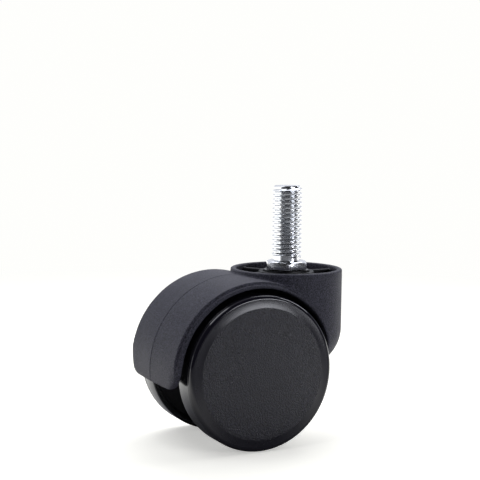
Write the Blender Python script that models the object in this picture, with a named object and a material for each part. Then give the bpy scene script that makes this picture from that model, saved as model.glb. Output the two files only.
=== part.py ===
"""Twin-wheel hooded chair caster on a threaded stem.

Units are metres, +Z is up. The origin is on the swivel axis, at the top seat of the
stem's hex collar. The wheels' axle runs along Y and trails behind the swivel axis, at -X.
"""
import math

import bmesh
import bpy
from mathutils import Matrix, Vector

MM = 0.001

# Driving dimensions
WHEEL_RADIUS = 25.0 * MM
TRAIL = 19.0 * MM                   # swivel axis to axle, along X
AXLE_DROP = 33.0 * MM               # collar seat to axle, along Z
TREAD_INNER = 11.4 * MM             # tread's edges, measured from the middle plane
TREAD_OUTER = 18.95 * MM
FACE_OUTER = 21.3 * MM              # middle of the domed cap
SOCKET_RADIUS = 18.6 * MM
RIM_DEPTH = 2.4 * MM                # collar seat to socket rim
HOOD_RADIUS = 29.4 * MM             # at the mould line
HOOD_SHIFT = -0.45 * MM             # centre of the hood's outer circle, from the axle along X
HOOD_DRAFT = 0.5 * MM               # radius lost from the mould line to the hood's edges
HOOD_HALF_WIDTH = 19.1 * MM
WHEEL_SPACE_RADIUS = 26.8 * MM
THREAD_RADIUS = 5.0 * MM
THREAD_LENGTH = 25.0 * MM
COLLAR_ACROSS_FLATS = 13.0 * MM
COLLAR_TURN = math.radians(7.5)     # how far one corner of the hexagon stands round from +X
COLLAR_THICKNESS = 2.6 * MM
AXLE_RADIUS = 3.0 * MM
PIVOT_RADIUS = 4.95 * MM            # stem below its collar
GAP = 0.3 * MM                      # clearance between neighbouring pieces

# Places worked out from them
AXLE = Vector((-TRAIL, 0.0, -AXLE_DROP))
RIM_TOP = -RIM_DEPTH
COLLAR_BOTTOM = -COLLAR_THICKNESS
RIB_TOP = RIM_TOP - 1.0 * MM

# Housing
SOCKET_WALL = 1.9 * MM
CUP_FILLET = 13.6 * MM
CUP_STRAIGHT_END = -22.0 * MM
POCKET_WALL = 2.0 * MM
RIB_THICKNESS = 1.6 * MM
RIB_COUNT = 6
TUBE_RADIUS = 9.3 * MM
TUBE_BOTTOM = -33.8 * MM
WEB_HALF_THICKNESS = 1.75 * MM
BOSS_RADIUS = 6.5 * MM
BOSS_HALF_LENGTH = 10.3 * MM
BEAD_RADIUS = 28.25 * MM            # bead along each side edge, a step below the hood's face
HOOD_CORNER = 7.5 * MM
HOOD_START = math.radians(188.0)    # lower end, measured about the axle from +X
HOOD_END = math.radians(46.0)       # inside the socket's wall
BEAD_BLEND = (math.radians(169.0), math.radians(183.0))
BLEND_RADIUS = 27.0 * MM            # where the blended edge meets the side
BLEND_WIDTH = 5.5 * MM
BEAD_FADE_START = math.radians(65.0)
BEAD_FADE = 1.2 * MM

# Stem, bush and ring
SEAT_Z = -4.4 * MM
SEAT_RADIUS = 7.7 * MM
BUSH_OUTER = 6.7 * MM
BUSH_INNER = 5.3 * MM
BUSH_BOTTOM = -23.2 * MM
LOWER_BORE = 5.4 * MM
RING_OUTER = 6.3 * MM
RING_INNER = 4.7 * MM
RING_TOP = -25.6 * MM
RING_THICKNESS = 1.2 * MM
RING_OPENING = math.radians(50.0)
PIVOT_END = -30.6 * MM
BORE_END = -31.2 * MM

# Wheels
RIM_INNER = 23.0 * MM
HUB_RADIUS = 6.5 * MM
WEB_INNER = 14.6 * MM
WEB_OUTER = 16.4 * MM
CAP_SKIRT_OUTER = 22.6 * MM
CAP_SKIRT_INNER = 21.2 * MM
CAP_SKIRT_END = 17.0 * MM
CAP_PLATE_INNER = 19.6 * MM
CAP_FACE_RADIUS = 21.0 * MM
CAP_ROUND = 1.5 * MM
WHEEL_RIB_COUNT = 8
PUSH_NUT_RADIUS = 5.6 * MM
AXLE_HALF_LENGTH = 18.4 * MM

BIG_STEPS = 72
SMALL_STEPS = 32


def clear_scene():
    for old in list(bpy.data.objects):
        bpy.data.objects.remove(old, do_unlink=True)


def material(name, colour, roughness, metallic=0.0):
    mat = bpy.data.materials.new(name)
    mat.use_nodes = True
    shader = mat.node_tree.nodes["Principled BSDF"]
    shader.inputs["Base Color"].default_value = (*colour, 1.0)
    shader.inputs["Roughness"].default_value = roughness
    shader.inputs["Metallic"].default_value = metallic
    mat.diffuse_color = (*colour, 1.0)
    return mat


def add_object(name, bm, place=Vector((0.0, 0.0, 0.0)), parent=None, mat=None):
    """Turn a bmesh into an object; `place` is its origin in world coordinates."""
    bmesh.ops.recalc_face_normals(bm, faces=bm.faces[:])
    mesh = bpy.data.meshes.new(name)
    bm.to_mesh(mesh)
    bm.free()
    mesh.shade_smooth()
    mesh.set_sharp_from_angle(angle=math.radians(35.0))
    obj = bpy.data.objects.new(name, mesh)
    bpy.context.collection.objects.link(obj)
    obj.location = place
    if parent is not None:
        obj.parent = parent
        obj.location = place - parent.location
    if mat is not None:
        mesh.materials.append(mat)
    return obj


def as_cutter(obj):
    obj.hide_render = True
    obj.display_type = "WIRE"
    return obj


def combine(obj, other, operation):
    step = obj.modifiers.new(operation.lower() + "_" + other.name, "BOOLEAN")
    step.operation = operation
    step.solver = "EXACT"
    step.object = as_cutter(other)


def arc(centre, radius, start, end, steps):
    """Points of an arc in a plane, from angle `start` to `end`, in radians."""
    points = []
    for i in range(steps + 1):
        angle = start + (end - start) * i / steps
        points.append((centre[0] + radius * math.cos(angle), centre[1] + radius * math.sin(angle)))
    return points


def turned(profile, steps, axis="Z"):
    """Solid of revolution. The profile is (radius, height) points; it is closed by itself
    unless both its ends lie on the axis."""
    bm = bmesh.new()
    ring = [bm.verts.new((radius, 0.0, height)) for radius, height in profile]
    edges = [bm.edges.new(pair) for pair in zip(ring, ring[1:])]
    if profile[0][0] > 0.0:
        edges.append(bm.edges.new((ring[-1], ring[0])))
    bmesh.ops.spin(bm, geom=ring + edges, axis=(0, 0, 1), cent=(0, 0, 0),
                   angle=math.tau, steps=steps, use_merge=True)
    bmesh.ops.remove_doubles(bm, verts=bm.verts[:], dist=0.001 * MM)
    if axis == "Y":
        bm.transform(Matrix.Rotation(math.radians(-90.0), 4, "X"))
    return bm


def prism(outline, low, high):
    """Solid with an (x, z) outline, extruded along Y from `low` to `high`."""
    bm = bmesh.new()
    face = bm.faces.new([bm.verts.new((x, low, z)) for x, z in outline])
    grown = bmesh.ops.extrude_face_region(bm, geom=[face])
    moved = [item for item in grown["geom"] if isinstance(item, bmesh.types.BMVert)]
    bmesh.ops.translate(bm, verts=moved, vec=(0.0, high - low, 0.0))
    return bm


def block(bm, size, place, turn):
    """Add a box to a bmesh; `turn` is a rotation matrix applied after it is moved."""
    matrix = turn @ Matrix.Translation(place) @ Matrix.Diagonal((*size, 1.0))
    bmesh.ops.create_cube(bm, size=1.0, matrix=matrix)


# ---------------------------------------------------------------- housing

def hood_half_width(angle):
    """The hood keeps its width, but for its round lower corners and the end of its bead,
    which sinks into the socket's wall."""
    along = (HOOD_START - angle) * HOOD_RADIUS
    if along < HOOD_CORNER:
        return HOOD_HALF_WIDTH - HOOD_CORNER + math.sqrt(HOOD_CORNER ** 2 - (HOOD_CORNER - along) ** 2)
    if angle < BEAD_FADE_START:
        share = (BEAD_FADE_START - angle) / (BEAD_FADE_START - HOOD_END)
        return HOOD_HALF_WIDTH - BEAD_FADE * share
    return HOOD_HALF_WIDTH


def smooth_step(low, high, value):
    share = min(1.0, max(0.0, (value - low) / (high - low)))
    return share * share * (3.0 - 2.0 * share)


def hood_section(half_width, blend):
    """Closed (radius, y) section through the hood's shell, crowned by the mould's draft.
    Its edge is a step and a bead, which blend into one broad round toward the lower end."""
    edge = HOOD_RADIUS - HOOD_DRAFT
    beaded = [(edge, -1.9 * MM), (edge - 0.25 * MM, -1.45 * MM), (BEAD_RADIUS, -1.3 * MM),
              (BEAD_RADIUS, -0.8 * MM), (BEAD_RADIUS - 0.25 * MM, -0.25 * MM), (BEAD_RADIUS - 0.75 * MM, 0.0)]
    upper = [(HOOD_RADIUS, 0.0)]
    for (bead_radius, bead_y), degrees in zip(beaded, (0.0, 20.0, 38.0, 56.0, 73.0, 90.0)):
        turn = math.radians(degrees)
        round_radius = BLEND_RADIUS + (edge - BLEND_RADIUS) * math.cos(turn)
        round_y = BLEND_WIDTH * (math.sin(turn) - 1.0)
        radius = bead_radius + (round_radius - bead_radius) * blend
        upper.append((radius, half_width + bead_y + (round_y - bead_y) * blend))
    upper.append((WHEEL_SPACE_RADIUS - 1.3 * MM, half_width))
    lower = [(radius, -y) for radius, y in reversed(upper[1:])]
    return lower + upper


def hood_shell():
    bm = bmesh.new()
    stations = [HOOD_START - HOOD_CORNER / HOOD_RADIUS * (1.0 - math.cos(math.radians(a)))
                for a in (0.0, 20.0, 40.0, 60.0, 75.0, 90.0)]
    plain_steps = 30
    start = stations[-1]
    stations += [start + (HOOD_END - start) * i / plain_steps for i in range(1, plain_steps + 1)]
    rings = []
    for angle in stations:
        section = hood_section(hood_half_width(angle), smooth_step(*BEAD_BLEND, angle))
        ring = [bm.verts.new((radius * math.cos(angle) + HOOD_SHIFT, y, radius * math.sin(angle)))
                for radius, y in section]
        rings.append(ring)
    count = len(rings[0])
    for ring, following in zip(rings, rings[1:]):
        for i in range(count):
            j = (i + 1) % count
            bm.faces.new((ring[i], ring[j], following[j], following[i]))
    bm.faces.new(rings[0])
    bm.faces.new(list(reversed(rings[-1])))
    bm.transform(Matrix.Translation(AXLE))
    return bm


def cup_profile(radius, fillet, top, inner_radius):
    """Half section of the rounded cup, from its top edge down to the given inner radius."""
    centre = (radius - fillet, CUP_STRAIGHT_END)
    reach = max(0.0, inner_radius - centre[0])
    last = -math.acos(reach / fillet)
    points = [(radius, top)] + arc(centre, fillet, 0.0, last, 9)
    return points


def socket_cup():
    profile = [(0.0, RIM_TOP)] + cup_profile(SOCKET_RADIUS, CUP_FILLET, RIM_TOP, 0.0)
    profile.append((0.0, CUP_STRAIGHT_END - CUP_FILLET))
    return turned(profile, BIG_STEPS)


def pocket_ring():
    """The space between the stem's tube and the socket's wall, before the ribs divide it."""
    radius = SOCKET_RADIUS - SOCKET_WALL
    fillet = CUP_FILLET - POCKET_WALL
    top = 2.0 * MM
    profile = cup_profile(radius, fillet, top, TUBE_RADIUS)
    profile.append((TUBE_RADIUS, top))
    return turned(profile, BIG_STEPS)


def rib_bars():
    """Bars across the socket: each makes two opposite ribs."""
    bm = bmesh.new()
    height = 40.0 * MM
    for i in range(RIB_COUNT // 2):
        turn = Matrix.Rotation(math.pi * i / (RIB_COUNT // 2), 4, "Z")
        block(bm, (60.0 * MM, RIB_THICKNESS, height), Vector((0.0, 0.0, RIB_TOP - height / 2.0)), turn)
    return bm


def centre_web():
    """Plate on the middle plane that joins the hood, the axle boss and the stem's tube."""
    radius = WHEEL_SPACE_RADIUS + 1.2 * MM
    outline = arc((-TRAIL, -AXLE_DROP), radius, math.radians(174.0), math.radians(50.0), 24)
    outline.append((2.0 * MM, -14.0 * MM))
    outline.append((2.0 * MM, TUBE_BOTTOM + 1.0 * MM))
    outline.append((-4.0 * MM, TUBE_BOTTOM + 0.6 * MM))
    outline.append((-TRAIL + 2.0 * MM, -AXLE_DROP - BOSS_RADIUS + 1.0 * MM))
    outline.append((-TRAIL - 4.5 * MM, -AXLE_DROP - BOSS_RADIUS + 2.6 * MM))
    return prism(outline, -WEB_HALF_THICKNESS, WEB_HALF_THICKNESS)


def hood_ribs():
    """Short cross ribs that stiffen the hood from inside, between the wheels."""
    bm = bmesh.new()
    depth = 5.2 * MM
    for degrees in (112.0, 136.0, 160.0):
        turn = Matrix.Translation(AXLE) @ Matrix.Rotation(math.radians(-degrees), 4, "Y")
        middle = WHEEL_SPACE_RADIUS + 0.8 * MM - depth / 2.0
        size = (depth, 2.0 * (BOSS_HALF_LENGTH - 0.8 * MM), RIB_THICKNESS)
        block(bm, size, Vector((middle, 0.0, 0.0)), turn)
    return bm


def stem_bore():
    """Stepped bore: washer seat, bush bore, lower bore and the retaining ring's groove."""
    bush_bore = BUSH_OUTER + GAP
    groove = RING_OUTER + GAP
    groove_top = RING_TOP + 0.5 * MM
    groove_bottom = RING_TOP - RING_THICKNESS - 0.5 * MM
    shoulder = BUSH_BOTTOM - GAP
    profile = [(0.0, 5.0 * MM), (SEAT_RADIUS, 5.0 * MM), (SEAT_RADIUS, SEAT_Z), (bush_bore, SEAT_Z),
               (bush_bore, shoulder), (LOWER_BORE, shoulder), (LOWER_BORE, groove_top),
               (groove, groove_top), (groove, groove_bottom), (LOWER_BORE, groove_bottom),
               (LOWER_BORE, BORE_END), (0.0, BORE_END)]
    return turned(profile, SMALL_STEPS)


def housing(swivel, mat):
    body = add_object("housing", hood_shell(), parent=swivel, mat=mat)
    wheel_space = turned([(0.0, -26.0 * MM), (WHEEL_SPACE_RADIUS, -26.0 * MM),
                          (WHEEL_SPACE_RADIUS, 26.0 * MM), (0.0, 26.0 * MM)], BIG_STEPS, "Y")
    boss = turned([(0.0, -BOSS_HALF_LENGTH), (BOSS_RADIUS, -BOSS_HALF_LENGTH),
                   (BOSS_RADIUS, BOSS_HALF_LENGTH), (0.0, BOSS_HALF_LENGTH)], SMALL_STEPS, "Y")
    tube = turned([(0.0, RIB_TOP), (TUBE_RADIUS, RIB_TOP), (TUBE_RADIUS, TUBE_BOTTOM),
                   (0.0, TUBE_BOTTOM)], 2 * SMALL_STEPS)
    bore_radius = AXLE_RADIUS + GAP
    axle_bore = turned([(0.0, -20.0 * MM), (bore_radius, -20.0 * MM),
                        (bore_radius, 20.0 * MM), (0.0, 20.0 * MM)], SMALL_STEPS, "Y")
    pocket_floor_radius = WHEEL_SPACE_RADIUS + POCKET_WALL
    floor_form = turned([(0.0, -24.0 * MM), (pocket_floor_radius, -24.0 * MM),
                         (pocket_floor_radius, 24.0 * MM), (0.0, 24.0 * MM)], BIG_STEPS, "Y")

    pockets = add_object("form_socket_pockets", pocket_ring())
    combine(pockets, add_object("form_rib_bars", rib_bars()), "DIFFERENCE")
    combine(pockets, add_object("form_pocket_floor", floor_form, AXLE), "DIFFERENCE")

    combine(body, add_object("form_socket_cup", socket_cup()), "UNION")
    combine(body, add_object("form_wheel_space", wheel_space, AXLE), "DIFFERENCE")
    combine(body, add_object("form_centre_web", centre_web()), "UNION")
    combine(body, add_object("form_hood_ribs", hood_ribs()), "UNION")
    combine(body, add_object("form_stem_tube", tube), "UNION")
    combine(body, add_object("form_axle_boss", boss, AXLE), "UNION")
    combine(body, pockets, "DIFFERENCE")
    combine(body, add_object("form_stem_bore", stem_bore()), "DIFFERENCE")
    combine(body, add_object("form_axle_bore", axle_bore, AXLE), "DIFFERENCE")


# ---------------------------------------------------------------- stem

def hex_collar():
    """Plain hexagon under the thread, one corner COLLAR_TURN round from +X."""
    bm = bmesh.new()
    corner = COLLAR_ACROSS_FLATS / math.sqrt(3.0)
    bmesh.ops.create_cone(bm, cap_ends=True, segments=6, radius1=corner, radius2=corner,
                          depth=COLLAR_THICKNESS)
    bmesh.ops.rotate(bm, verts=bm.verts[:], matrix=Matrix.Rotation(COLLAR_TURN, 3, "Z"))
    bmesh.ops.translate(bm, verts=bm.verts[:], vec=(0.0, 0.0, COLLAR_BOTTOM / 2.0))
    return bm


def chamfer_form():
    """What is kept of the collar: a cone that takes its upper corners off."""
    seat = 0.955 * COLLAR_ACROSS_FLATS / 2.0
    wide = 10.0 * MM
    drop = (wide - seat) * math.tan(math.radians(30.0))
    profile = [(0.0, 0.0), (seat, 0.0), (wide, -drop), (wide, -8.0 * MM), (0.0, -8.0 * MM)]
    return turned(profile, 48)


def threaded_stem(mat):
    stem = add_object("threaded_stem", hex_collar(), mat=mat)
    combine(stem, add_object("form_collar_chamfer", chamfer_form()), "INTERSECT")
    chamfer = 0.9 * MM
    middle = COLLAR_BOTTOM / 2.0
    groove = RING_INNER - GAP
    groove_top = RING_TOP + GAP
    groove_bottom = RING_TOP - RING_THICKNESS - GAP
    profile = [(0.0, THREAD_LENGTH), (THREAD_RADIUS - chamfer, THREAD_LENGTH),
               (THREAD_RADIUS, THREAD_LENGTH - chamfer), (THREAD_RADIUS, middle),
               (PIVOT_RADIUS, middle - chamfer), (PIVOT_RADIUS, groove_top),
               (groove, groove_top), (groove, groove_bottom), (PIVOT_RADIUS, groove_bottom),
               (PIVOT_RADIUS, PIVOT_END + chamfer), (PIVOT_RADIUS - chamfer, PIVOT_END), (0.0, PIVOT_END)]
    combine(stem, add_object("form_stem_shaft", turned(profile, 48)), "UNION")


def retaining_ring(mat):
    """Open C ring, rectangular in section."""
    bm = bmesh.new()
    low = RING_TOP - RING_THICKNESS
    half = RING_OPENING / 2.0
    outline = arc((0.0, 0.0), RING_OUTER, half, math.tau - half, 30)
    outline += arc((0.0, 0.0), RING_INNER, math.tau - half, half, 30)
    face = bm.faces.new([bm.verts.new((x, y, low)) for x, y in outline])
    grown = bmesh.ops.extrude_face_region(bm, geom=[face])
    moved = [item for item in grown["geom"] if isinstance(item, bmesh.types.BMVert)]
    bmesh.ops.translate(bm, verts=moved, vec=(0.0, 0.0, RING_THICKNESS))
    add_object("stem_retaining_ring", bm, mat=mat)


def ring_piece(name, inner, outer, low, high, axis, place, parent, mat, steps=SMALL_STEPS):
    profile = [(inner, high), (outer, high), (outer, low), (inner, low)]
    return add_object(name, turned(profile, steps, axis), place, parent, mat)


# ---------------------------------------------------------------- wheels

def wheel_profile():
    """Half section of a wheel body as (radius, distance from the middle plane)."""
    ease = 0.5 * MM
    bore = AXLE_RADIUS + GAP
    return [(WHEEL_RADIUS, TREAD_OUTER), (WHEEL_RADIUS, TREAD_INNER + ease),
            (WHEEL_RADIUS - ease, TREAD_INNER), (RIM_INNER, TREAD_INNER), (RIM_INNER, WEB_INNER),
            (HUB_RADIUS, WEB_INNER), (HUB_RADIUS, TREAD_INNER), (bore, TREAD_INNER),
            (bore, WEB_OUTER), (RIM_INNER, WEB_OUTER), (RIM_INNER, TREAD_OUTER)]


def cap_profile():
    """Half section of a full-face wheel cap: skirt, round rim, bevel and domed face."""
    edge = TREAD_OUTER + GAP
    round_centre = (WHEEL_RADIUS - CAP_ROUND, edge)
    face_edge = FACE_OUTER - 0.35 * MM
    rim = arc(round_centre, CAP_ROUND, 0.0, math.radians(80.0), 5)
    dome = []
    dome_steps = 5
    for i in range(dome_steps + 1):
        radius = CAP_FACE_RADIUS * (1.0 - i / dome_steps)
        height = FACE_OUTER - (FACE_OUTER - face_edge) * (radius / CAP_FACE_RADIUS) ** 2
        dome.append((radius, height))
    inside = [(0.0, CAP_PLATE_INNER), (CAP_SKIRT_INNER, CAP_PLATE_INNER), (CAP_SKIRT_INNER, CAP_SKIRT_END),
              (CAP_SKIRT_OUTER, CAP_SKIRT_END), (CAP_SKIRT_OUTER, edge)]
    return list(reversed(rim + dome + inside))


def sided(profile, side):
    return [(radius, side * height) for radius, height in profile]


def wheel_ribs(side):
    """Radial ribs in the wheel's inner recess."""
    bm = bmesh.new()
    length = RIM_INNER - HUB_RADIUS + 1.0 * MM
    low = TREAD_INNER + 1.0 * MM
    high = WEB_INNER + 0.6 * MM
    place = Vector(((RIM_INNER + HUB_RADIUS) / 2.0, side * (low + high) / 2.0, 0.0))
    for i in range(WHEEL_RIB_COUNT):
        turn = Matrix.Rotation(math.tau * (i + 0.5) / WHEEL_RIB_COUNT, 4, "Y")
        block(bm, (length, high - low, 1.4 * MM), place, turn)
    return bm


def wheel(side, label, axle, carrier, plastic, cap_plastic, steel):
    """One wheel with its cap, on `axle`, and its hardware, on the housing's `carrier`."""
    form = turned(sided(wheel_profile(), side), BIG_STEPS, "Y")
    body = add_object("wheel_" + label, form, AXLE, axle, plastic)
    combine(body, add_object("form_wheel_ribs_" + label, wheel_ribs(side), AXLE), "UNION")
    cap = turned(sided(cap_profile(), side), BIG_STEPS, "Y")
    add_object("wheel_cap_" + label, cap, AXLE, axle, cap_plastic)
    bore = AXLE_RADIUS + GAP
    washer_low = BOSS_HALF_LENGTH + GAP
    washer_high = TREAD_INNER - GAP
    ring_piece("hub_washer_" + label, bore, BOSS_RADIUS, side * washer_low, side * washer_high, "Y",
               AXLE, carrier, steel)
    nut_low = WEB_OUTER + GAP
    ring_piece("push_nut_" + label, bore, PUSH_NUT_RADIUS, side * nut_low, side * (nut_low + 0.9 * MM), "Y",
               AXLE, carrier, steel)


def empty(name, place):
    marker = bpy.data.objects.new(name, None)
    bpy.context.collection.objects.link(marker)
    marker.location = place
    return marker


def build():
    clear_scene()
    nylon = material("housing_nylon", (0.050, 0.052, 0.058), 0.62)
    wheel_nylon = material("wheel_nylon", (0.018, 0.018, 0.020), 0.22)
    cap_nylon = material("cap_nylon", (0.022, 0.022, 0.025), 0.38)
    zinc = material("zinc_plated_steel", (0.78, 0.79, 0.80), 0.22, 1.0)
    spring = material("spring_steel", (0.36, 0.36, 0.37), 0.35, 1.0)
    acetal = material("bush_acetal", (0.60, 0.59, 0.55), 0.45)

    swivel = empty("swivel_axis", Vector((0.0, 0.0, 0.0)))
    axle = empty("wheel_axis", AXLE)

    housing(swivel, nylon)
    threaded_stem(zinc)
    retaining_ring(spring)
    ring_piece("swivel_bush", BUSH_INNER, BUSH_OUTER, BUSH_BOTTOM, SEAT_Z - GAP, "Z",
               Vector((0.0, 0.0, 0.0)), swivel, acetal)
    ring_piece("thrust_washer", PIVOT_RADIUS + GAP, SEAT_RADIUS - GAP, SEAT_Z + GAP,
               COLLAR_BOTTOM - GAP, "Z", Vector((0.0, 0.0, 0.0)), swivel, spring)

    ease = 0.5 * MM
    pin = turned([(0.0, -AXLE_HALF_LENGTH), (AXLE_RADIUS - ease, -AXLE_HALF_LENGTH),
                  (AXLE_RADIUS, -AXLE_HALF_LENGTH + ease), (AXLE_RADIUS, AXLE_HALF_LENGTH - ease),
                  (AXLE_RADIUS - ease, AXLE_HALF_LENGTH), (0.0, AXLE_HALF_LENGTH)], SMALL_STEPS, "Y")
    add_object("axle_pin", pin, AXLE, swivel, zinc)
    wheel(-1.0, "right", axle, swivel, wheel_nylon, cap_nylon, spring)
    wheel(1.0, "left", axle, swivel, wheel_nylon, cap_nylon, spring)


build()
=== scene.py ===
"""Looks of the twin-wheel hooded chair caster: fine meshes, materials, light and camera.

Lengths in the outline and field functions are in millimetres, about the axle or the
swivel axis as each one says; meshes are scaled to metres when they are made.
"""
import math

import bmesh
import bpy
import numpy as np
import openvdb
from mathutils import Matrix, Vector


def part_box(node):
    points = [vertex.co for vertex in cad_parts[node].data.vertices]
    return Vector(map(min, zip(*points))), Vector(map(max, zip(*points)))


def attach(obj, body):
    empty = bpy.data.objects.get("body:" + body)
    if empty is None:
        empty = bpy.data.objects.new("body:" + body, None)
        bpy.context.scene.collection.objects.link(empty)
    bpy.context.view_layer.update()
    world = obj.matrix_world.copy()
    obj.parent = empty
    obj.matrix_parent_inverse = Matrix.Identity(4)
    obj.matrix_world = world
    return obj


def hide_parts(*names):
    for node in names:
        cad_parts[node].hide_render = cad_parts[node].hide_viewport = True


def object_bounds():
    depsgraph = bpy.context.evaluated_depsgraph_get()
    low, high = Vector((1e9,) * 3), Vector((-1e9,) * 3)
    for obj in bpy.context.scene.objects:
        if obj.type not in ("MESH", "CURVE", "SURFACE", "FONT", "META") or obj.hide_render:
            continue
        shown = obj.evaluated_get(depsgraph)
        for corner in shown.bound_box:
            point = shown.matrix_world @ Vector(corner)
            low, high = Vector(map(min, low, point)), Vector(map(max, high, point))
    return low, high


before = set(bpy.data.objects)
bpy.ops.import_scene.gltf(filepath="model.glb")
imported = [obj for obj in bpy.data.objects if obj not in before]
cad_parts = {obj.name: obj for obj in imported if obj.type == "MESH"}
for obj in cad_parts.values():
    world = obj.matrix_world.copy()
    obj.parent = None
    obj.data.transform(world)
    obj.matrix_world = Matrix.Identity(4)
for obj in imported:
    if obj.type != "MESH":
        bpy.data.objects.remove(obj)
cad_low, cad_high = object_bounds()

MM = 0.001

# ---------------------------------------------------------------- places, from the frame

wheel_low, wheel_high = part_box("wheel_right")
AXLE = Vector(((wheel_low.x + wheel_high.x) / 2.0, 0.0, (wheel_low.z + wheel_high.z) / 2.0))
FLOOR = wheel_low.z
TRAIL = -AXLE.x / MM
AXLE_DROP = -AXLE.z / MM
STEM_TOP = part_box("threaded_stem")[1].z / MM
STEM_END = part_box("threaded_stem")[0].z / MM
WHEEL_R = (wheel_high.z - wheel_low.z) / MM / 2.0
TREAD_IN = -wheel_high.y / MM
TREAD_OUT = -wheel_low.y / MM
FACE_OUT = -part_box("wheel_cap_right")[0].y / MM
SOCKET_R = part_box("housing")[1].x / MM
RIM_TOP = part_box("housing")[1].z / MM
HOOD_HALF_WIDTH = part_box("housing")[1].y / MM

# ---------------------------------------------------------------- camera, floor and light

CAMERA_TARGET = Vector((-0.0159, 0.0029, 0.0071))
CAMERA_DISTANCE = 0.3863
CAMERA_AZIMUTH = math.radians(-26.45)
CAMERA_ELEVATION = math.radians(5.66)
CAMERA_ROLL = math.radians(0.63)
CAMERA_LENS = 87.96

ROOM = (0.90, 0.92, 1.0)
WORLD_FRONT = 0.02          # the room's strength on the camera's side and behind the object
WORLD_BACK = 0.80
WORLD_DARK_FROM = -0.30
WORLD_BRIGHT_FROM = 0.65
BACKDROP = (0.994, 0.994, 0.975)

FLOOR_SIZE = 6.0
FLOOR_SEEN_BY_OBJECT = (0.30, 0.30, 0.30)
FLOOR_SEEN_BY_CAMERA = (1.90, 1.86, 1.66)
FLOOR_GLOW = 0.44           # share of the near floor that no shadow darkens
FLOOR_FADE = (0.10, 0.45)   # distances over which the floor turns into the backdrop
LIT_BEYOND = (0.025, 0.085)  # distances over which the object sees the floor brighten
LIT_BEHIND = (-0.12, 0.02)  # the same, from front to back
GLOSS_SHARE = 0.55          # how much brighter the lit floor is in reflections
BOUNCE_SHARE = -0.55        # and how much less it gives as bounced light

COOL = (0.915, 0.93, 1.0)
TOP_POWER = 3.9
LEFT_POWER = 1.25
FRONT_POWER = 0.58
RIGHT_POWER = 0.75
CARD_POWER = 0.04


def add_camera():
    data = bpy.data.cameras.new("camera")
    data.lens = CAMERA_LENS
    data.clip_start = 0.01
    camera = bpy.data.objects.new("camera", data)
    bpy.context.scene.collection.objects.link(camera)
    back = Vector((math.sin(CAMERA_AZIMUTH) * math.cos(CAMERA_ELEVATION),
                   -math.cos(CAMERA_AZIMUTH) * math.cos(CAMERA_ELEVATION),
                   math.sin(CAMERA_ELEVATION)))
    turn = (Matrix.Rotation(CAMERA_AZIMUTH, 4, "Z")
            @ Matrix.Rotation(math.radians(90.0) - CAMERA_ELEVATION, 4, "X")
            @ Matrix.Rotation(CAMERA_ROLL, 4, "Z"))
    camera.matrix_world = Matrix.Translation(CAMERA_TARGET + back * CAMERA_DISTANCE) @ turn
    bpy.context.scene.camera = camera


def area_light(name, place, target, size, power):
    data = bpy.data.lights.new(name, "AREA")
    data.shape = "RECTANGLE"
    data.size, data.size_y = size
    data.energy = power
    data.color = COOL
    light = bpy.data.objects.new(name, data)
    bpy.context.scene.collection.objects.link(light)
    light.visible_camera = False
    light.location = place
    light.rotation_euler = (Vector(target) - Vector(place)).to_track_quat("-Z", "Y").to_euler()


def add_lights():
    middle = (AXLE.x, 0.0, AXLE.z)
    area_light("back_top_box", (0.34, 0.45, 0.76), middle, (0.80, 0.50), TOP_POWER)
    area_light("left_box", (-0.34, 0.00, 0.66), middle, (0.45, 0.36), LEFT_POWER)
    area_light("front_right_box", (0.185, -0.43, 0.102), middle, (0.25, 0.09), FRONT_POWER)
    area_light("right_box", (0.60, -0.03, 0.40), middle, (0.13, 0.34), RIGHT_POWER)
    area_light("left_card", (-0.45, 0.04, 0.015), middle, (0.15, 0.13), CARD_POWER)
    area_light("low_card", (0.212, -0.339, -0.038), (0.0, 0.0, 0.0), (0.10, 0.028), CARD_POWER)


class Tree:
    """Short calls for building a node tree."""

    def __init__(self, tree):
        self.tree = tree

    def add(self, kind, **settings):
        node = self.tree.nodes.new("ShaderNode" + kind)
        for key, value in settings.items():
            setattr(node, key, value)
        return node

    def link(self, source, target):
        self.tree.links.new(source, target)

    def ramp(self, value, low, high, start=0.0, end=1.0, smooth=False):
        node = self.add("MapRange")
        if smooth:
            node.interpolation_type = "SMOOTHSTEP"
        node.inputs["From Min"].default_value = start
        node.inputs["From Max"].default_value = end
        node.inputs["To Min"].default_value = low
        node.inputs["To Max"].default_value = high
        self.link(value, node.inputs["Value"])
        return node.outputs["Result"]

    def math(self, operation, *values):
        node = self.add("Math", operation=operation)
        for socket, value in zip(node.inputs, values):
            if isinstance(value, (int, float)):
                socket.default_value = value
            else:
                self.link(value, socket)
        return node.outputs[0]

    def split(self, vector):
        node = self.add("SeparateXYZ")
        self.link(vector, node.inputs[0])
        return node.outputs

    def mix_value(self, factor, first, second):
        node = self.add("Mix", data_type="FLOAT")
        self.link(factor, node.inputs[0])
        self.link(first, node.inputs[2])
        self.link(second, node.inputs[3])
        return node.outputs[0]

    def mix_colour(self, factor, first, second):
        node = self.add("Mix", data_type="RGBA")
        for socket, value in ((node.inputs[6], first), (node.inputs[7], second)):
            if isinstance(value, tuple):
                socket.default_value = (*value, 1.0)
            else:
                self.link(value, socket)
        self.link(factor, node.inputs[0])
        return node.outputs[2]

    def mix_shader(self, factor, first, second):
        node = self.add("MixShader")
        self.link(factor, node.inputs[0])
        self.link(first.outputs[0], node.inputs[1])
        self.link(second.outputs[0], node.inputs[2])
        return node.outputs[0]


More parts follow.
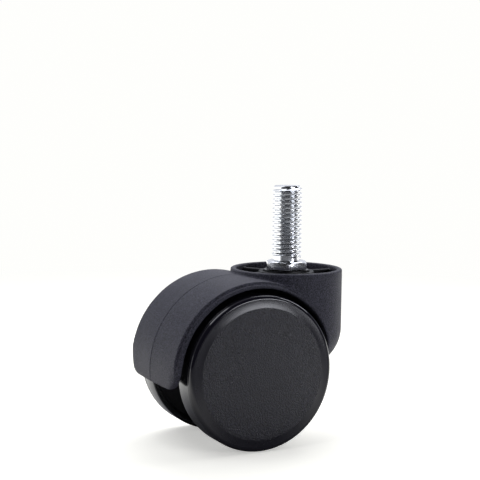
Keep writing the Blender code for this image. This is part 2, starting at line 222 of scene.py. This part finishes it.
def add_world():
    """A studio that is bright behind the object and dark on the camera's side."""
    world = bpy.data.worlds.new("studio")
    bpy.context.scene.world = world
    world.use_nodes = True
    n = Tree(world.node_tree)
    n.tree.nodes.clear()
    place = n.split(n.add("TexCoord").outputs["Generated"])
    room = n.add("Background")
    room.inputs["Color"].default_value = (*ROOM, 1.0)
    n.link(n.ramp(place["Y"], WORLD_FRONT, WORLD_BACK, WORLD_DARK_FROM, WORLD_BRIGHT_FROM, smooth=True),
           room.inputs["Strength"])
    backdrop = n.add("Background")
    backdrop.inputs["Color"].default_value = (*BACKDROP, 1.0)
    backdrop.inputs["Strength"].default_value = 1.0
    seen = n.add("LightPath").outputs["Is Camera Ray"]
    n.link(n.mix_shader(seen, room, backdrop), n.add("OutputWorld").inputs["Surface"])


def add_floor():
    """Pale floor that fades into the backdrop away from the object."""
    bm = bmesh.new()
    bmesh.ops.create_circle(bm, cap_ends=True, segments=96, radius=FLOOR_SIZE)
    mesh = bpy.data.meshes.new("floor")
    bm.to_mesh(mesh)
    bm.free()
    floor = bpy.data.objects.new("floor", mesh)
    bpy.context.scene.collection.objects.link(floor)
    floor.location = (AXLE.x, 0.0, FLOOR)
    mat = bpy.data.materials.new("pale_floor")
    mat.use_nodes = True
    n = Tree(mat.node_tree)
    n.tree.nodes.clear()
    path = n.add("LightPath").outputs
    place = n.add("TexCoord").outputs["Object"]
    length = n.add("VectorMath", operation="LENGTH")
    n.link(place, length.inputs[0])
    distance = length.outputs["Value"]

    paper = n.add("BsdfDiffuse")
    n.link(n.mix_colour(path["Is Camera Ray"], FLOOR_SEEN_BY_OBJECT, FLOOR_SEEN_BY_CAMERA),
           paper.inputs["Color"])
    glow = n.add("Emission")
    glow.inputs["Color"].default_value = (*BACKDROP, 1.0)
    mirrored = n.math("MULTIPLY_ADD", path["Is Glossy Ray"], GLOSS_SHARE, 1.0)
    n.link(n.math("MULTIPLY_ADD", path["Is Diffuse Ray"], BOUNCE_SHARE, mirrored), glow.inputs["Strength"])

    seen_by_camera = n.ramp(distance, FLOOR_GLOW, 1.0, *FLOOR_FADE, smooth=True)
    beyond = n.ramp(distance, 0.0, 1.0, *LIT_BEYOND, smooth=True)
    behind = n.ramp(n.split(place)["Y"], 0.0, 1.0, *LIT_BEHIND, smooth=True)
    share = n.mix_value(path["Is Camera Ray"], n.math("MULTIPLY", beyond, behind), seen_by_camera)
    n.link(n.mix_shader(share, paper, glow), n.add("OutputMaterial").inputs["Surface"])
    mesh.materials.append(mat)


# ---------------------------------------------------------------- node materials

class Nodes(Tree):
    """A material about a Principled shader, with the object's own coordinates."""

    def __init__(self, name, colour, roughness, metallic=0.0):
        self.material = bpy.data.materials.new(name)
        self.material.use_nodes = True
        super().__init__(self.material.node_tree)
        self.shader = self.tree.nodes["Principled BSDF"]
        self.shader.inputs["Base Color"].default_value = (*colour, 1.0)
        self.shader.inputs["Roughness"].default_value = roughness
        self.shader.inputs["Metallic"].default_value = metallic
        self.place = self.add("TexCoord").outputs["Object"]

    def noise(self, size, detail=3.0, roughness=0.6, stretch=None):
        """Noise whose features are about `size` metres across."""
        node = self.add("TexNoise")
        node.inputs["Scale"].default_value = 1.0 / size
        node.inputs["Detail"].default_value = detail
        node.inputs["Roughness"].default_value = roughness
        source = self.place
        if stretch is not None:
            mapping = self.add("Mapping")
            mapping.inputs["Scale"].default_value = stretch
            self.link(self.place, mapping.inputs["Vector"])
            source = mapping.outputs[0]
        self.link(source, node.inputs["Vector"])
        return node.outputs["Fac"]

    def between(self, value, low, high):
        """The middle of a noise, from 0.3 to 0.7, spread over low to high."""
        return self.ramp(value, low, high, 0.3, 0.7)

    def bump(self, height, distance, strength=1.0, before=None):
        node = self.add("Bump")
        node.inputs["Strength"].default_value = strength
        node.inputs["Distance"].default_value = distance
        self.link(height, node.inputs["Height"])
        if before is not None:
            self.link(before, node.inputs["Normal"])
        return node.outputs["Normal"]

    def radius(self, first, second):
        """Distance from the axis that the two named coordinates are square to."""
        parts = self.split(self.place)
        squares = [self.math("MULTIPLY", parts[name], parts[name]) for name in (first, second)]
        return self.math("SQRT", self.math("ADD", *squares))

    def worn_edges(self):
        """1 on sharp outer edges, 0 elsewhere, from the mesh's own pointiness."""
        pointiness = self.add("NewGeometry").outputs["Pointiness"]
        return self.ramp(pointiness, 0.0, 1.0, 0.52, 0.62, smooth=True)

    def set(self, name, value):
        self.link(value, self.shader.inputs[name])


def housing_material():
    """Fine-grained dark nylon: sparkling grain, faint flow clouds, rubbed edges, painted shade inside the
    socket.
    """
    n = Nodes("moulded_housing", (0.030, 0.031, 0.038), 0.5)
    cloud = n.noise(9.0 * MM, 4.0)
    grain = n.noise(0.38 * MM, 2.0, 0.7)
    pits = n.noise(0.22 * MM, 1.0)
    colour = n.mix_colour(n.between(cloud, 0.0, 1.0), (0.0120, 0.0120, 0.0175), (0.0165, 0.0165, 0.0235))
    colour = n.mix_colour(n.ramp(grain, 0.0, 1.0, 0.40, 0.68), colour, (0.096, 0.094, 0.130))
    colour = n.mix_colour(n.math("MULTIPLY", n.worn_edges(), 0.30), colour, (0.10, 0.10, 0.115))
    # Painted shade: the socket's inside, and all else nearer the swivel axis than the socket's inner wall,
    # takes a darker colour standing in for the shade in that recess.
    inside = n.ramp(n.radius("X", "Y"), 1.0, 0.0, (SOCKET_R - 2.3) * MM, (SOCKET_R - 1.7) * MM)
    shade = n.mix_colour(cloud, (0.006, 0.006, 0.008), (0.011, 0.011, 0.014))
    n.set("Base Color", n.mix_colour(inside, colour, shade))
    n.set("Roughness", n.math("ADD", n.between(grain, 0.50, 0.66), n.between(cloud, -0.04, 0.04)))
    n.set("Normal", n.bump(pits, 0.02 * MM, 0.5, n.bump(grain, 0.15 * MM)))
    n.shader.inputs["Specular IOR Level"].default_value = 0.28
    return n.material


def wheel_material():
    """Glossy black nylon outside with the faint marks of rolling, plain matt inside the recess."""
    n = Nodes("glossy_wheel", (0.016, 0.016, 0.019), 0.2)
    scuff = n.noise(1.6 * MM, 5.0, 0.6, (1.0, 7.0, 1.0))
    dust = n.noise(0.5 * MM, 3.0)
    marks = n.ramp(scuff, 0.0, 0.5, 0.5, 0.8)
    n.set("Base Color", n.mix_colour(marks, (0.014, 0.014, 0.018), (0.036, 0.036, 0.042)))
    gloss = n.math("ADD", n.ramp(scuff, 0.12, 0.24, 0.35, 0.75), n.ramp(dust, 0.0, 0.04, 0.4, 0.7))
    recess = n.ramp(n.radius("X", "Z"), 0.40, 0.0, (WHEEL_R - 1.0) * MM, (WHEEL_R - 0.5) * MM)
    n.set("Roughness", n.math("ADD", gloss, recess))
    n.set("Normal", n.bump(scuff, 0.008 * MM, 0.3))
    n.shader.inputs["Specular IOR Level"].default_value = 0.75
    return n.material


FACE_RADIUS = 21.0 * MM


def cap_material():
    """Glossy rim and bevel round a spark-textured face."""
    n = Nodes("wheel_cap", (0.02, 0.02, 0.024), 0.3)
    radius = n.radius("X", "Z")
    face = n.ramp(radius, 1.0, 0.0, FACE_RADIUS - 0.05 * MM, FACE_RADIUS + 0.15 * MM)
    rim = n.ramp(radius, 0.0, 1.0, FACE_RADIUS + 2.3 * MM, FACE_RADIUS + 2.9 * MM, smooth=True)
    spark = n.noise(0.52 * MM, 2.0, 0.8)
    cloud = n.noise(6.0 * MM, 3.0)
    specks = n.ramp(spark, 0.0, 1.0, 0.42, 0.66)
    texture = n.mix_colour(specks, (0.0030, 0.0024, 0.0066), (0.0165, 0.0145, 0.0290))
    n.set("Base Color", n.mix_colour(face, (0.0090, 0.0080, 0.0145), texture))
    matte = n.math("ADD", n.between(spark, 0.27, 0.33), n.between(cloud, -0.02, 0.02))
    gloss = n.math("SUBTRACT", n.between(cloud, 0.25, 0.30), n.math("MULTIPLY", rim, 0.17))
    n.set("Roughness", n.mix_value(face, gloss, matte))
    height = n.math("MULTIPLY", n.math("SUBTRACT", spark, 0.5), face)
    n.set("Normal", n.bump(height, 0.30 * MM))
    n.shader.inputs["Specular IOR Level"].default_value = 0.65
    return n.material


def zinc_material():
    """Bright zinc plating over turned steel."""
    n = Nodes("bright_zinc", (0.80, 0.82, 0.84), 0.2, 1.0)
    turned = n.noise(0.8 * MM, 3.0, 0.6, (1.0, 1.0, 5.0))
    cloud = n.noise(3.0 * MM, 4.0)
    n.set("Base Color", n.mix_colour(n.between(cloud, 0.0, 1.0), (0.74, 0.77, 0.80), (0.86, 0.86, 0.86)))
    n.set("Roughness", n.math("ADD", n.between(turned, 0.15, 0.21), n.between(cloud, 0.0, 0.04)))
    n.set("Normal", n.bump(turned, 0.004 * MM, 0.25))
    return n.material


def spring_steel_material(name, shade):
    """Dull rolled steel; a low shade gives a darker copy of the same steel."""
    n = Nodes(name, (0.36 * shade, 0.36 * shade, 0.37 * shade), 0.35, 1.0)
    streak = n.noise(0.5 * MM, 4.0, 0.6)
    dark, light = (0.26 * shade, 0.26 * shade, 0.27 * shade), (0.46 * shade, 0.46 * shade, 0.46 * shade)
    n.set("Base Color", n.mix_colour(streak, dark, light))
    n.set("Roughness", n.between(streak, 0.25, 0.5))
    n.set("Normal", n.bump(streak, 0.01 * MM, 0.4))
    return n.material


def acetal_material():
    """Off-white acetal, as moulded."""
    n = Nodes("bush_acetal", (0.6, 0.59, 0.55), 0.45)
    cloud = n.noise(2.0 * MM, 3.0)
    n.set("Base Color", n.mix_colour(cloud, (0.52, 0.51, 0.47), (0.66, 0.65, 0.61)))
    n.set("Roughness", n.between(cloud, 0.36, 0.55))
    n.set("Normal", n.bump(n.noise(0.3 * MM), 0.01 * MM, 0.3))
    return n.material


# ---------------------------------------------------------------- mesh helpers

def make_object(name, points, faces, place=Vector((0.0, 0.0, 0.0)), sharp=None):
    """Object from points in metres, about its own origin at `place`."""
    mesh = bpy.data.meshes.new(name)
    mesh.from_pydata(points, [], faces)
    mesh.validate()
    bm = bmesh.new()
    bm.from_mesh(mesh)
    bmesh.ops.remove_doubles(bm, verts=bm.verts[:], dist=0.0005 * MM)
    bmesh.ops.dissolve_degenerate(bm, edges=bm.edges[:], dist=0.0005 * MM)
    bmesh.ops.recalc_face_normals(bm, faces=bm.faces[:])
    bm.to_mesh(mesh)
    bm.free()
    mesh.shade_smooth()
    if sharp is not None:
        mesh.set_sharp_from_angle(angle=math.radians(sharp))
    obj = bpy.data.objects.new(name, mesh)
    bpy.context.scene.collection.objects.link(obj)
    obj.location = place
    return obj


def keep_modified(obj):
    """Make the result of the object's modifiers its mesh."""
    before = obj.data
    bpy.context.view_layer.update()
    obj.data = bpy.data.meshes.new_from_object(
        obj.evaluated_get(bpy.context.evaluated_depsgraph_get()))
    obj.modifiers.clear()
    bpy.data.meshes.remove(before)


def arc(centre, radius, start, end, steps):
    """Points of an arc, angles in degrees."""
    turns = [math.radians(start + (end - start) * i / steps) for i in range(steps + 1)]
    return [(centre[0] + radius * math.cos(t), centre[1] + radius * math.sin(t)) for t in turns]


def lathe(profile, steps, place_point):
    """Grid of points round an axis. profile(turn) gives (radius, height) points, closed or ending
    on the axis; place_point(radius, height, turn) puts one in space."""
    rows = [profile(math.tau * k / steps) for k in range(steps)]
    count = len(rows[0])
    on_axis = [i for i in range(count) if rows[0][i][0] == 0.0]
    closed = not on_axis
    points, index = [], {}
    for k, row in enumerate(rows):
        for i, (radius, height) in enumerate(row):
            if i in on_axis and k > 0:
                index[k, i] = index[0, i]
                continue
            index[k, i] = len(points)
            points.append(place_point(radius, height, math.tau * k / steps))
    faces = []
    for k in range(steps):
        after = (k + 1) % steps
        for i in range(count if closed else count - 1):
            j = (i + 1) % count
            corners = [index[k, i], index[k, j], index[after, j], index[after, i]]
            unique = list(dict.fromkeys(corners))
            if len(unique) > 2:
                faces.append(unique)
    return points, faces


def about_y(side):
    def place_point(radius, height, turn):
        return (radius * math.cos(turn) * MM, side * height * MM, radius * math.sin(turn) * MM)
    return place_point


def about_z(radius, height, turn):
    return (radius * math.cos(turn) * MM, radius * math.sin(turn) * MM, height * MM)


# ---------------------------------------------------------------- housing

GRID = 0.34                 # spacing of the field's samples, mm
SOFT = 0.45                 # how far edges and inner corners are rounded, mm
HOUSING_TRIANGLES = 180000
HOOD_R = 29.4
HOOD_SHIFT = -0.45
HOOD_DRAFT = 0.5
WHEEL_SPACE = 26.8
FACE_STEP = 1.3             # the hood's face ends this far inside its side edge
BEAD_R = 28.25
GROOVE_R = 0.45             # fine groove between the face and the bead
HOOD_START = 188.0
HOOD_END = 40.0
HOOD_CORNER = 7.5
CUP_FILLET = 13.6
CUP_STRAIGHT_END = -22.0
SOCKET_WALL = 1.9
POCKET_WALL = 2.0
RIB_TOP = RIM_TOP - 1.0
RIB_HALF = 0.8
TUBE_R = 9.3
TUBE_BOTTOM = -33.8
WEB_HALF = 1.75
BOSS_R = 6.5
BOSS_HALF = 10.3
AXLE_BORE = 3.3
SEAT_R = 7.7
SEAT_Z = -4.4
BUSH_BORE = 7.0
BUSH_SHOULDER = -23.5
LOWER_BORE = 5.4
BORE_END = -31.2
HOOD_RIB_TURNS = (112.0, 136.0, 160.0)      # degrees about the axle
HOOD_RIB_START = 22.4
HOOD_RIB_REACH = 9.5
SOCKET_RIB_TURNS = (0.0, 60.0, 120.0)       # three full ribs make six
WEB_EDGE_U = (-30.0, -6.5, 0.0, 4.0, 15.0, 24.0)
WEB_EDGE_W = (3.2, -1.5, -4.5, -5.2, -0.6, -0.6)
WEB_END = 21.0
END_ROUND_DEPTH = 2.1       # the rounding of the hood's lower end, where the bead runs out
END_ROUND_WIDTH = 5.5


def union(first, second, soft=SOFT):
    """Smooth minimum of two distance fields."""
    share = np.clip(0.5 + 0.5 * (second - first) / soft, 0.0, 1.0)
    return second + (first - second) * share - soft * share * (1.0 - share)


def meet(first, second, soft=SOFT):
    """Smooth maximum: the space inside both fields."""
    return -union(-first, -second, soft)


def round_corner(first, second, radius):
    """Space inside both fields, with their outer corner turned to a radius."""
    a = first + radius
    b = second + radius
    return np.minimum(np.maximum(a, b), 0.0) + np.hypot(np.maximum(a, 0.0), np.maximum(b, 0.0)) - radius


def smooth_step(low, high, value):
    share = np.clip((value - low) / (high - low), 0.0, 1.0)
    return share * share * (3.0 - 2.0 * share)


def cup_field(radial, z, radius, fillet):
    """Upright cup about the swivel axis: straight wall with a round bottom."""
    return round_corner(radial - radius, (CUP_STRAIGHT_END - fillet) - z, fillet)


def hood_field(u, y, w):
    """Hood shell about the axle: a drafted face, a step and a bead along each edge."""
    radius = np.hypot(u, w)
    turn = np.degrees(np.arctan2(w, u)) % 360.0
    turn = np.where(turn > 320.0, turn - 360.0, turn)
    about_hood = np.hypot(u - HOOD_SHIFT, w)
    side = np.abs(y)
    half_width = HOOD_HALF_WIDTH - 1.25 * smooth_step(66.0, 46.0, turn)
    face = about_hood - (HOOD_R - HOOD_DRAFT * side / HOOD_HALF_WIDTH)
    shell = meet(face, side - (half_width - FACE_STEP), 0.5)
    bead = meet(about_hood - BEAD_R, side - half_width, 1.3)
    stepped = union(shell, bead, 0.25)
    blend = smooth_step(168.0, 182.0, turn)
    groove = np.hypot(about_hood - BEAD_R - 0.15, side - half_width + FACE_STEP - 0.15)
    stepped = meet(stepped, GROOVE_R * (1.0 - blend) - groove, 0.2)
    a = (face + END_ROUND_DEPTH) / END_ROUND_DEPTH
    b = (side - half_width + END_ROUND_WIDTH) / END_ROUND_WIDTH
    rounded = END_ROUND_DEPTH * round_corner(a - 1.0, b - 1.0, 1.0)
    outer = stepped + (rounded - stepped) * blend
    start, end = math.radians(HOOD_START), math.radians(HOOD_END)
    lower_end = -u * math.sin(start) + w * math.cos(start)
    upper_end = u * math.sin(end) - w * math.cos(end)
    plan = round_corner(side - half_width, lower_end, HOOD_CORNER)
    outer = meet(outer, plan, 1.2)
    outer = meet(outer, upper_end)
    return meet(outer, WHEEL_SPACE - radius, 0.9)


def housing_field(x, y, z):
    u = x + TRAIL
    w = z + AXLE_DROP
    about_axle = np.hypot(u, w)
    radial = np.hypot(x, y)
    side = np.abs(y)

    cup = meet(cup_field(radial, z, SOCKET_R, CUP_FILLET), z - RIM_TOP, 0.6)
    cup = meet(cup, WHEEL_SPACE - about_axle, 0.7)
    body = union(cup, hood_field(u, y, w), 0.5)

    lower_edge = np.interp(u, WEB_EDGE_U, WEB_EDGE_W)
    web = meet(meet(side - WEB_HALF, about_axle - WHEEL_SPACE - 0.8), lower_edge - w, 0.8)
    web = meet(web, u - WEB_END)
    tube = meet(meet(radial - TUBE_R, z - RIB_TOP), TUBE_BOTTOM - z, 0.8)
    boss = meet(about_axle - BOSS_R, side - BOSS_HALF, 0.5)
    body = union(body, union(union(web, tube, 1.2), boss, 1.2), 1.0)
    for degrees in HOOD_RIB_TURNS:
        turn = math.radians(degrees)
        along = u * math.cos(turn) + w * math.sin(turn)
        across = np.abs(-u * math.sin(turn) + w * math.cos(turn))
        rib = meet(across - RIB_HALF, side - HOOD_RIB_REACH)
        rib = meet(meet(rib, HOOD_RIB_START - along), about_axle - WHEEL_SPACE - 0.8)
        body = union(body, rib, 0.9)

    inner_wall = SOCKET_R - SOCKET_WALL
    ribs = np.full_like(body, 1e3)
    for degrees in SOCKET_RIB_TURNS:
        turn = math.radians(degrees)
        ribs = np.minimum(ribs, np.abs(-x * math.sin(turn) + y * math.cos(turn)) - RIB_HALF)
    pocket = meet(cup_field(radial, z, inner_wall, CUP_FILLET - POCKET_WALL), TUBE_R - radial, 0.6)
    pocket = meet(pocket, WHEEL_SPACE + POCKET_WALL - about_axle, 0.6)
    pocket = meet(pocket, -meet(ribs, z - RIB_TOP, 0.3), 0.6)
    mouth = meet(radial - inner_wall, RIB_TOP - z, 0.3)
    body = meet(body, -union(pocket, mouth, 0.3), 0.5)

    seat = np.maximum(radial - SEAT_R, SEAT_Z - z)
    bush = np.maximum(radial - BUSH_BORE, BUSH_SHOULDER - z)
    pivot = np.maximum(radial - LOWER_BORE, BORE_END - z)
    bore = np.minimum(np.minimum(seat, bush), pivot)
    body = meet(body, -bore, 0.35)
    return meet(body, AXLE_BORE - about_axle, 0.35)


def housing_mesh():
    low = np.array([cad_low[0] / MM, -HOOD_HALF_WIDTH, TUBE_BOTTOM - 6.0]) - 3.0 * GRID
    high = np.array([cad_high[0] / MM, HOOD_HALF_WIDTH, RIM_TOP]) + 3.0 * GRID
    axes = [np.arange(a, b, GRID, dtype=np.float32) for a, b in zip(low, high)]
    x, y, z = np.meshgrid(*axes, indexing="ij")
    field = np.clip(housing_field(x, y, z), -3.0 * GRID, 3.0 * GRID).astype(np.float32)
    grid = openvdb.FloatGrid(background=3.0 * GRID)
    grid.copyFromArray(field)
    points, quads = grid.convertToQuads(isovalue=0.0)
    start = np.array([axis[0] for axis in axes])
    return (points * GRID + start) * MM, quads


def thin_out(obj, most):
    """Collapse the field's even mesh to a number of triangles, fewest where it is flattest."""
    obj.data.calc_loop_triangles()
    thin = obj.modifiers.new("thin", "DECIMATE")
    thin.ratio = min(1.0, most / len(obj.data.loop_triangles))
    keep_modified(obj)


def score_mould_line(mesh):
    """A fine V groove where the two halves of the mould met, along the hood's face."""
    half, depth = 0.30 * MM, 0.45 * MM
    bm = bmesh.new()
    bm.from_mesh(mesh)
    for y in (-half, 0.0, half):
        bmesh.ops.bisect_plane(bm, geom=bm.verts[:] + bm.edges[:] + bm.faces[:], dist=0.01 * MM,
                               plane_co=(0.0, y, 0.0), plane_no=(0.0, 1.0, 0.0))
    for vert in bm.verts:
        away = Vector((vert.co.x - AXLE.x, 0.0, vert.co.z - AXLE.z))
        on_face = away.length > (HOOD_R - 0.8) * MM and vert.co.z < (RIM_TOP - 0.6) * MM
        outside_cup = vert.co.x < -(SOCKET_R - 0.2) * MM
        if on_face and outside_cup and abs(vert.co.y) < 0.3 * half:
            vert.co -= away.normalized() * depth
    bm.to_mesh(mesh)
    bm.free()


def add_housing():
    points, quads = housing_mesh()
    obj = make_object("hooded_housing", points.tolist(), quads.tolist())
    thin_out(obj, HOUSING_TRIANGLES)
    score_mould_line(obj.data)
    obj.data.shade_smooth()
    obj.data.materials.append(housing_material())
    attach(obj, "swivel_housing")
    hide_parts("housing")
    return obj


# ---------------------------------------------------------------- wheels

def fillet(points, radius, steps=4):
    """Replace the corners of a closed outline by small arcs."""
    out = []
    count = len(points)
    for i in range(count):
        before, here, after = (Vector(points[(i + k) % count]) for k in (-1, 0, 1))
        first, second = (before - here), (after - here)
        reach = min(radius, 0.45 * first.length, 0.45 * second.length)
        start = here + first.normalized() * reach
        end = here + second.normalized() * reach
        for k in range(steps + 1):
            t = k / steps
            out.append(tuple((1 - t) ** 2 * start + 2 * t * (1 - t) * here + t ** 2 * end))
    return out


HUB_R = 6.5
RIM_IN = 22.6
LIP_IN = 23.9
WEB_IN = 14.6
WEB_OUT = 16.4
WHEEL_RIBS = 8
WHEEL_RIB_WIDTH = 1.4
CAP_ROUND = 1.5


def wheel_outline():
    corners = [(WHEEL_R, TREAD_OUT), (WHEEL_R, TREAD_IN), (LIP_IN, TREAD_IN), (RIM_IN, WEB_IN),
               (HUB_R + 0.3, WEB_IN), (HUB_R, TREAD_IN), (AXLE_BORE, TREAD_IN), (AXLE_BORE, WEB_OUT),
               (RIM_IN, WEB_OUT), (RIM_IN, TREAD_OUT)]
    return fillet(corners, 0.45)


def add_wheel(side, label, body, material):
    outline = wheel_outline()
    points, faces = lathe(lambda turn: outline, 192, about_y(side))
    obj = make_object("wheel_body_" + label, points, faces, AXLE, sharp=50.0)
    ribs = bmesh.new()
    length = (RIM_IN - HUB_R + 1.4) * MM
    low, high = (TREAD_IN + 1.0) * MM, (WEB_IN + 0.8) * MM
    for k in range(WHEEL_RIBS):
        matrix = (Matrix.Rotation(math.tau * (k + 0.5) / WHEEL_RIBS, 4, "Y")
                  @ Matrix.Translation(((RIM_IN + HUB_R) / 2.0 * MM, side * (low + high) / 2.0, 0.0))
                  @ Matrix.Diagonal((length, high - low, WHEEL_RIB_WIDTH * MM, 1.0)))
        bmesh.ops.create_cube(ribs, size=1.0, matrix=matrix)
    bmesh.ops.recalc_face_normals(ribs, faces=ribs.faces[:])
    mesh = bpy.data.meshes.new("rib_form")
    ribs.to_mesh(mesh)
    ribs.free()
    form = bpy.data.objects.new("rib_form", mesh)
    bpy.context.scene.collection.objects.link(form)
    form.location = AXLE
    cut = obj.modifiers.new("ribs", "BOOLEAN")
    cut.operation = "UNION"
    cut.solver = "EXACT"
    cut.object = form
    keep_modified(obj)
    bpy.data.objects.remove(form)
    obj.data.shade_smooth()
    obj.data.set_sharp_from_angle(angle=math.radians(40.0))
    obj.data.materials.clear()
    obj.data.materials.append(material)
    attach(obj, body)
    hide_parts("wheel_" + label)


def cap_outline():
    """Closed (radius, distance) outline of a cap: domed face, rolling bevel and rim round outside,
    plate and snap skirt inside."""
    edge = TREAD_OUT + 0.05
    face_edge = FACE_OUT - 0.37
    face_radius = FACE_RADIUS / MM
    dome_steps = 18
    shares = [i / dome_steps for i in range(dome_steps + 1)]
    dome = [(face_radius * s, FACE_OUT - (FACE_OUT - face_edge) * s ** 2) for s in shares]
    rim = arc((WHEEL_R - CAP_ROUND, edge), CAP_ROUND, 78.0, 3.0, 14)
    bevel = []
    width = rim[0][0] - face_radius
    start_slope = 0.26
    curve = (face_edge - rim[0][1] - start_slope * width) / width ** 2
    for s in (0.12, 0.28, 0.44, 0.60, 0.76, 0.9):
        reach = s * width
        bevel.append((face_radius + reach, face_edge - start_slope * reach - curve * reach ** 2))
    plate, skirt_out, skirt_in, skirt_end = 19.6, 22.6, 21.2, 17.0
    inside = [(WHEEL_R - 0.12, edge), (skirt_out, edge), (skirt_out, skirt_end + 0.2),
              (skirt_out - 0.2, skirt_end), (skirt_in + 0.2, skirt_end), (skirt_in, skirt_end + 0.2),
              (skirt_in, plate - 0.4), (skirt_in - 0.4, plate), (0.0, plate)]
    return dome + bevel + rim + inside


def add_cap(side, label, body, material):
    outline = cap_outline()
    points, faces = lathe(lambda turn: outline, 192, about_y(side))
    obj = make_object("cap_cover_" + label, points, faces, AXLE, sharp=40.0)
    obj.data.materials.append(material)
    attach(obj, body)
    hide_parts("wheel_cap_" + label)


# ---------------------------------------------------------------- stem

THREAD_R = 5.0
THREAD_ROOT = 4.25
PITCH = 1.5
COLLAR_BOTTOM = -2.6
ACROSS_FLATS = 13.0
SEAT_EDGE = 6.2
PIVOT_R = 4.95
RING_GROOVE = (-25.3, -27.1, 4.4)
RELIEF_TOP = 1.2            # the thread starts this far above the collar
HEX_TURN = math.radians(7.5)


def hex_radius(turn):
    """Radius of a hexagon with slightly crowned faces, one corner HEX_TURN round from +X."""
    sector = (math.degrees(turn - HEX_TURN) % 60.0) - 30.0
    return ACROSS_FLATS / 2.0 / math.cos(math.radians(sector)) - 0.15 * (sector / 30.0) ** 2


def collar_profile(turn):
    corner = hex_radius(turn)
    drop = max(0.0, corner - SEAT_EDGE) * math.tan(math.radians(30.0))
    profile = [(0.0, 0.0), (SEAT_EDGE - 0.05, 0.0), (SEAT_EDGE + 0.05, -0.02)]
    profile += [(SEAT_EDGE + (corner - SEAT_EDGE) * s, -drop * s) for s in (0.35, 0.7, 0.95)]
    profile += [(corner, -drop - 0.06), (corner, COLLAR_BOTTOM + 0.15), (corner - 0.12, COLLAR_BOTTOM)]
    top, bottom, root = RING_GROOVE
    profile += [(PIVOT_R + 0.3, COLLAR_BOTTOM), (PIVOT_R, COLLAR_BOTTOM - 0.3), (PIVOT_R, top + 0.1),
                (PIVOT_R - 0.1, top), (root, top), (root, bottom), (PIVOT_R - 0.1, bottom),
                (PIVOT_R, bottom - 0.1), (PIVOT_R, STEM_END + 0.9), (PIVOT_R - 0.9, STEM_END),
                (0.0, STEM_END)]
    return profile


def thread_mesh(steps):
    """Screw thread as a helix of crest and root lines, with a relief below and a chamfer on top."""
    pitches = int(STEM_TOP / PITCH) + 3
    corners = ((-0.07, THREAD_R), (0.07, THREAD_R), (0.38, THREAD_ROOT), (0.62, THREAD_ROOT))
    count = pitches * len(corners)
    chamfer = THREAD_R - THREAD_ROOT + 0.15
    points = []
    for k in range(steps):
        turn = math.tau * k / steps
        for n in range(pitches):
            for phase, radius in corners:
                height = PITCH * (n - 1.0 + phase + k / steps)
                if height < RELIEF_TOP:
                    height, radius = RELIEF_TOP, THREAD_ROOT
                height = min(height, STEM_TOP)
                radius = min(radius, THREAD_R - max(0.0, height - (STEM_TOP - chamfer)))
                points.append(about_z(radius, height, turn))
    faces = []
    for k in range(steps):
        after = (k + 1) % steps
        shift = len(corners) if after == 0 else 0
        for i in range(count - 1):
            low, high = min(i + shift, count - 1), min(i + 1 + shift, count - 1)
            faces.append((k * count + i, k * count + i + 1, after * count + high, after * count + low))
    foot = len(points)
    for k in range(steps):
        points.append(about_z(THREAD_ROOT, -0.5, math.tau * k / steps))
    for k in range(steps):
        after = (k + 1) % steps
        faces.append((foot + k, k * count, after * count, foot + after))
    faces.append(tuple((k + 1) * count - 1 for k in range(steps)))
    faces.append(tuple(foot + k for k in range(steps))[::-1])
    return points, faces


def add_stem(material):
    points, faces = lathe(collar_profile, 144, about_z)
    thread_points, thread_faces = thread_mesh(96)
    faces = faces + [tuple(i + len(points) for i in face) for face in thread_faces]
    obj = make_object("stem_and_collar", points + thread_points, faces, sharp=25.0)
    obj.data.materials.append(material)
    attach(obj, "stem")
    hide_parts("threaded_stem")


# ---------------------------------------------------------------- build

def finish_cad_nodes(zinc):
    """Materials for the small inner pieces, which keep their CAD solids."""
    spring = spring_steel_material("spring_steel", 1.0)
    # The thrust washer takes a darker copy of the spring steel than the other small parts.
    finishes = {"axle_pin": zinc, "stem_retaining_ring": spring,
                "thrust_washer": spring_steel_material("darker_washer_steel", 0.22),
                "swivel_bush": acetal_material()}
    for label in ("right", "left"):
        finishes["hub_washer_" + label] = spring
        finishes["push_nut_" + label] = spring
    for name, material in finishes.items():
        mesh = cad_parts[name].data
        mesh.materials.clear()
        mesh.materials.append(material)


def build():
    add_camera()
    add_world()
    add_floor()
    add_lights()
    bpy.context.scene.view_settings.view_transform = "Standard"
    add_housing()
    wheel_finish, cap_finish, zinc = wheel_material(), cap_material(), zinc_material()
    for side, label in ((-1.0, "right"), (1.0, "left")):
        body = label + "_wheel"
        add_wheel(side, label, body, wheel_finish)
        add_cap(side, label, body, cap_finish)
    add_stem(zinc)
    finish_cad_nodes(zinc)


build()
